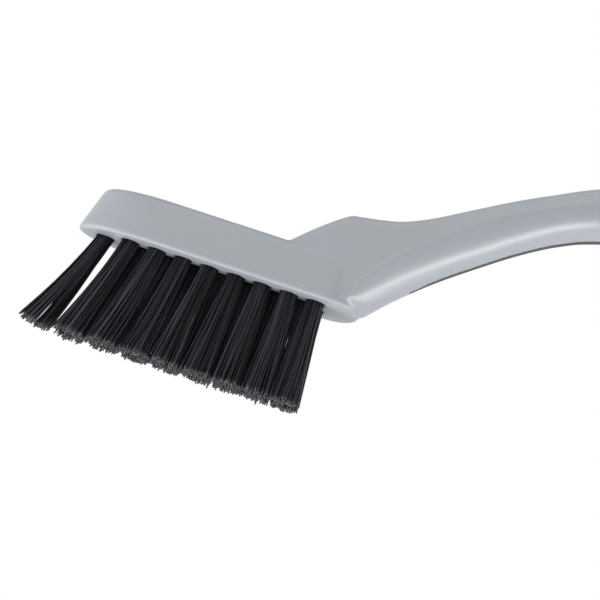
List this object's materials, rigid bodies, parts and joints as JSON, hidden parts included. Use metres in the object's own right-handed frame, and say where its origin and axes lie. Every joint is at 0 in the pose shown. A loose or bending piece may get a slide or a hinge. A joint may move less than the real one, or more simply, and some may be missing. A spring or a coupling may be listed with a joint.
{
  "type": "detailing brush",
  "caption": "Detailing brush: an oval head with staggered tufts of stiff black bristles on a curved gooseneck grey handle, with a dark strip under the grip and a hanging hole.",
  "frame": {"origin": "middle of the head's length and width, on the head's flat back", "axes": "+X along the brush from the head's nose to the handle's end, +Z out of the head's back, away from the bristles, Y across the brush"},
  "size_m": [0.2429, 0.02, 0.0846],
  "materials": {
    "body_grey": "satin pale blue-grey moulded plastic",
    "grip_dark": "matt dark grey soft plastic",
    "bristle_black": "black nylon filament, slightly glossy",
    "anchor_steel": "plain flat wire"
  },
  "bodies": {
    "root": {"brush_body": "body_grey", "grip_strip": "grip_dark", "tuft_near_1": "bristle_black", "tuft_near_2": "bristle_black", "tuft_near_3": "bristle_black", "tuft_near_4": "bristle_black", "tuft_near_5": "bristle_black", "tuft_near_6": "bristle_black", "tuft_near_7": "bristle_black", "tuft_near_8": "bristle_black", "tuft_far_1": "bristle_black", "tuft_far_2": "bristle_black", "tuft_far_3": "bristle_black", "tuft_far_4": "bristle_black", "tuft_far_5": "bristle_black", "tuft_far_6": "bristle_black", "tuft_far_7": "bristle_black", "tuft_far_8": "bristle_black", "tuft_nose": "bristle_black", "tuft_middle_1": "bristle_black", "tuft_middle_2": "bristle_black", "tuft_middle_3": "bristle_black", "tuft_middle_4": "bristle_black", "tuft_middle_5": "bristle_black", "tuft_middle_6": "bristle_black", "tuft_middle_7": "bristle_black", "anchor_near_1": "anchor_steel", "anchor_near_2": "anchor_steel", "anchor_near_3": "anchor_steel", "anchor_near_4": "anchor_steel", "anchor_near_5": "anchor_steel", "anchor_near_6": "anchor_steel", "anchor_near_7": "anchor_steel", "anchor_near_8": "anchor_steel", "anchor_far_1": "anchor_steel", "anchor_far_2": "anchor_steel", "anchor_far_3": "anchor_steel", "anchor_far_4": "anchor_steel", "anchor_far_5": "anchor_steel", "anchor_far_6": "anchor_steel", "anchor_far_7": "anchor_steel", "anchor_far_8": "anchor_steel", "anchor_nose": "anchor_steel", "anchor_middle_1": "anchor_steel", "anchor_middle_2": "anchor_steel", "anchor_middle_3": "anchor_steel", "anchor_middle_4": "anchor_steel", "anchor_middle_5": "anchor_steel", "anchor_middle_6": "anchor_steel", "anchor_middle_7": "anchor_steel"}
  },
  "joints": []
}
